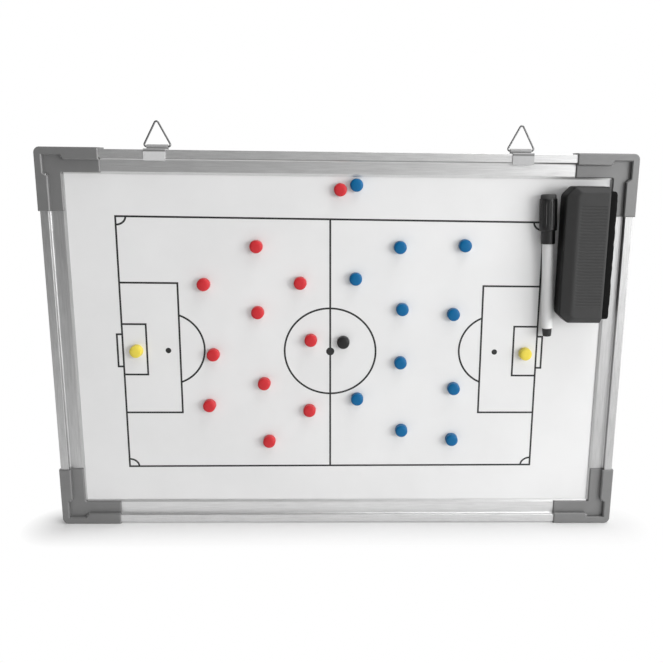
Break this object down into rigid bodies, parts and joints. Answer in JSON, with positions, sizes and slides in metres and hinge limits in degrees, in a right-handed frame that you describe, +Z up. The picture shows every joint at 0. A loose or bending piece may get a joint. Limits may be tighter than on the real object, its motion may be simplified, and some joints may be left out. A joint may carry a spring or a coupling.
{
  "type": "magnetic tactics board",
  "caption": "flat upright magnetic tactics board with a framed white writing panel, plastic corner caps, hanging rings, round counters, a marker pen and a felt eraser",
  "frame": {"origin": "on the floor plane under the lower corner caps, in the middle of the whole set's width and depth", "axes": "+X to the right along the lower rail as the writing face is seen, +Y away from the viewer, +Z up"},
  "size_m": [0.45, 0.034, 0.3199],
  "materials": {
    "frame_aluminium": "satin",
    "cap_grey": "satin",
    "sheet_white": "gloss",
    "core_fibre": "matte",
    "backing_steel": "satin",
    "hanger_steel": "gloss",
    "counter_red": "gloss",
    "counter_blue": "gloss",
    "counter_yellow": "gloss",
    "counter_black": "gloss",
    "eraser_plastic": "matte",
    "eraser_felt": "matte",
    "magnet": "matte",
    "pen_black": "satin",
    "pen_white": "gloss",
    "pen_fibre": "matte"
  },
  "bodies": {
    "board": {"bottom_rail": "frame_aluminium", "top_rail": "frame_aluminium", "left_rail": "frame_aluminium", "right_rail": "frame_aluminium", "bottom_left_cap": "cap_grey", "bottom_right_cap": "cap_grey", "top_left_cap": "cap_grey", "top_right_cap": "cap_grey", "writing_sheet": "sheet_white", "core_board": "core_fibre", "backing_sheet": "backing_steel", "hanger_rivets": "hanger_steel", "hanger_strap_left": "hanger_steel", "hanger_strap_right": "hanger_steel"},
    "ring_left": {"hanger_ring_left": "hanger_steel"},
    "ring_right": {"hanger_ring_right": "hanger_steel"},
    "eraser": {"eraser_grip": "eraser_plastic", "eraser_felt": "eraser_felt", "eraser_magnets": "magnet"},
    "pen_cap": {"pen_cap": "pen_black", "pen_cap_magnet": "magnet", "pen_cap_felt": "pen_fibre"},
    "pen": {"pen_barrel": "pen_white", "pen_end_plug": "pen_black", "pen_reservoir": "pen_fibre", "pen_nib_holder": "pen_white", "pen_nib": "pen_fibre"},
    "black_counter_01": {"black_counter_01": "counter_black"},
    "blue_counter_01": {"blue_counter_01": "counter_blue"},
    "blue_counter_02": {"blue_counter_02": "counter_blue"},
    "blue_counter_03": {"blue_counter_03": "counter_blue"},
    "blue_counter_04": {"blue_counter_04": "counter_blue"},
    "blue_counter_05": {"blue_counter_05": "counter_blue"},
    "blue_counter_06": {"blue_counter_06": "counter_blue"},
    "blue_counter_07": {"blue_counter_07": "counter_blue"},
    "blue_counter_08": {"blue_counter_08": "counter_blue"},
    "blue_counter_09": {"blue_counter_09": "counter_blue"},
    "blue_counter_10": {"blue_counter_10": "counter_blue"},
    "blue_counter_11": {"blue_counter_11": "counter_blue"},
    "red_counter_01": {"red_counter_01": "counter_red"},
    "red_counter_02": {"red_counter_02": "counter_red"},
    "red_counter_03": {"red_counter_03": "counter_red"},
    "red_counter_04": {"red_counter_04": "counter_red"},
    "red_counter_05": {"red_counter_05": "counter_red"},
    "red_counter_06": {"red_counter_06": "counter_red"},
    "red_counter_07": {"red_counter_07": "counter_red"},
    "red_counter_08": {"red_counter_08": "counter_red"},
    "red_counter_09": {"red_counter_09": "counter_red"},
    "red_counter_10": {"red_counter_10": "counter_red"},
    "red_counter_11": {"red_counter_11": "counter_red"},
    "yellow_counter_01": {"yellow_counter_01": "counter_yellow"},
    "yellow_counter_02": {"yellow_counter_02": "counter_yellow"}
  },
  "joints": [
    {"name": "barrel_pull_out", "type": "slide", "parent": "pen_cap", "child": "pen", "axis": [0.0489, 0, -0.9988], "range_m": [0, 0.04]},
    {"name": "cap_lift_off", "type": "slide", "parent": "board", "child": "pen_cap", "axis": [0, -1, 0], "range_m": [0, 0.06]},
    {"name": "eraser_lift_off", "type": "slide", "parent": "board", "child": "eraser", "axis": [0, -1, 0], "range_m": [0, 0.06]},
    {"name": "hanger_ring_left_swing", "type": "hinge", "parent": "board", "child": "ring_left", "pos_m": [-0.137, 0.01407, 0.30118], "axis": [1, 0, 0], "range_deg": [-130, 90]},
    {"name": "hanger_ring_right_swing", "type": "hinge", "parent": "board", "child": "ring_right", "pos_m": [0.137, 0.01407, 0.30118], "axis": [1, 0, 0], "range_deg": [-130, 90]},
    {"name": "lift_off_black_counter_01", "type": "slide", "parent": "board", "child": "black_counter_01", "axis": [0, -1, 0], "range_m": [0, 0.05]},
    {"name": "lift_off_blue_counter_01", "type": "slide", "parent": "board", "child": "blue_counter_01", "axis": [0, -1, 0], "range_m": [0, 0.05]},
    {"name": "lift_off_blue_counter_02", "type": "slide", "parent": "board", "child": "blue_counter_02", "axis": [0, -1, 0], "range_m": [0, 0.05]},
    {"name": "lift_off_blue_counter_03", "type": "slide", "parent": "board", "child": "blue_counter_03", "axis": [0, -1, 0], "range_m": [0, 0.05]},
    {"name": "lift_off_blue_counter_04", "type": "slide", "parent": "board", "child": "blue_counter_04", "axis": [0, -1, 0], "range_m": [0, 0.05]},
    {"name": "lift_off_blue_counter_05", "type": "slide", "parent": "board", "child": "blue_counter_05", "axis": [0, -1, 0], "range_m": [0, 0.05]},
    {"name": "lift_off_blue_counter_06", "type": "slide", "parent": "board", "child": "blue_counter_06", "axis": [0, -1, 0], "range_m": [0, 0.05]},
    {"name": "lift_off_blue_counter_07", "type": "slide", "parent": "board", "child": "blue_counter_07", "axis": [0, -1, 0], "range_m": [0, 0.05]},
    {"name": "lift_off_blue_counter_08", "type": "slide", "parent": "board", "child": "blue_counter_08", "axis": [0, -1, 0], "range_m": [0, 0.05]},
    {"name": "lift_off_blue_counter_09", "type": "slide", "parent": "board", "child": "blue_counter_09", "axis": [0, -1, 0], "range_m": [0, 0.05]},
    {"name": "lift_off_blue_counter_10", "type": "slide", "parent": "board", "child": "blue_counter_10", "axis": [0, -1, 0], "range_m": [0, 0.05]},
    {"name": "lift_off_blue_counter_11", "type": "slide", "parent": "board", "child": "blue_counter_11", "axis": [0, -1, 0], "range_m": [0, 0.05]},
    {"name": "lift_off_red_counter_01", "type": "slide", "parent": "board", "child": "red_counter_01", "axis": [0, -1, 0], "range_m": [0, 0.05]},
    {"name": "lift_off_red_counter_02", "type": "slide", "parent": "board", "child": "red_counter_02", "axis": [0, -1, 0], "range_m": [0, 0.05]},
    {"name": "lift_off_red_counter_03", "type": "slide", "parent": "board", "child": "red_counter_03", "axis": [0, -1, 0], "range_m": [0, 0.05]},
    {"name": "lift_off_red_counter_04", "type": "slide", "parent": "board", "child": "red_counter_04", "axis": [0, -1, 0], "range_m": [0, 0.05]},
    {"name": "lift_off_red_counter_05", "type": "slide", "parent": "board", "child": "red_counter_05", "axis": [0, -1, 0], "range_m": [0, 0.05]},
    {"name": "lift_off_red_counter_06", "type": "slide", "parent": "board", "child": "red_counter_06", "axis": [0, -1, 0], "range_m": [0, 0.05]},
    {"name": "lift_off_red_counter_07", "type": "slide", "parent": "board", "child": "red_counter_07", "axis": [0, -1, 0], "range_m": [0, 0.05]},
    {"name": "lift_off_red_counter_08", "type": "slide", "parent": "board", "child": "red_counter_08", "axis": [0, -1, 0], "range_m": [0, 0.05]},
    {"name": "lift_off_red_counter_09", "type": "slide", "parent": "board", "child": "red_counter_09", "axis": [0, -1, 0], "range_m": [0, 0.05]},
    {"name": "lift_off_red_counter_10", "type": "slide", "parent": "board", "child": "red_counter_10", "axis": [0, -1, 0], "range_m": [0, 0.05]},
    {"name": "lift_off_red_counter_11", "type": "slide", "parent": "board", "child": "red_counter_11", "axis": [0, -1, 0], "range_m": [0, 0.05]},
    {"name": "lift_off_yellow_counter_01", "type": "slide", "parent": "board", "child": "yellow_counter_01", "axis": [0, -1, 0], "range_m": [0, 0.05]},
    {"name": "lift_off_yellow_counter_02", "type": "slide", "parent": "board", "child": "yellow_counter_02", "axis": [0, -1, 0], "range_m": [0, 0.05]}
  ]
}
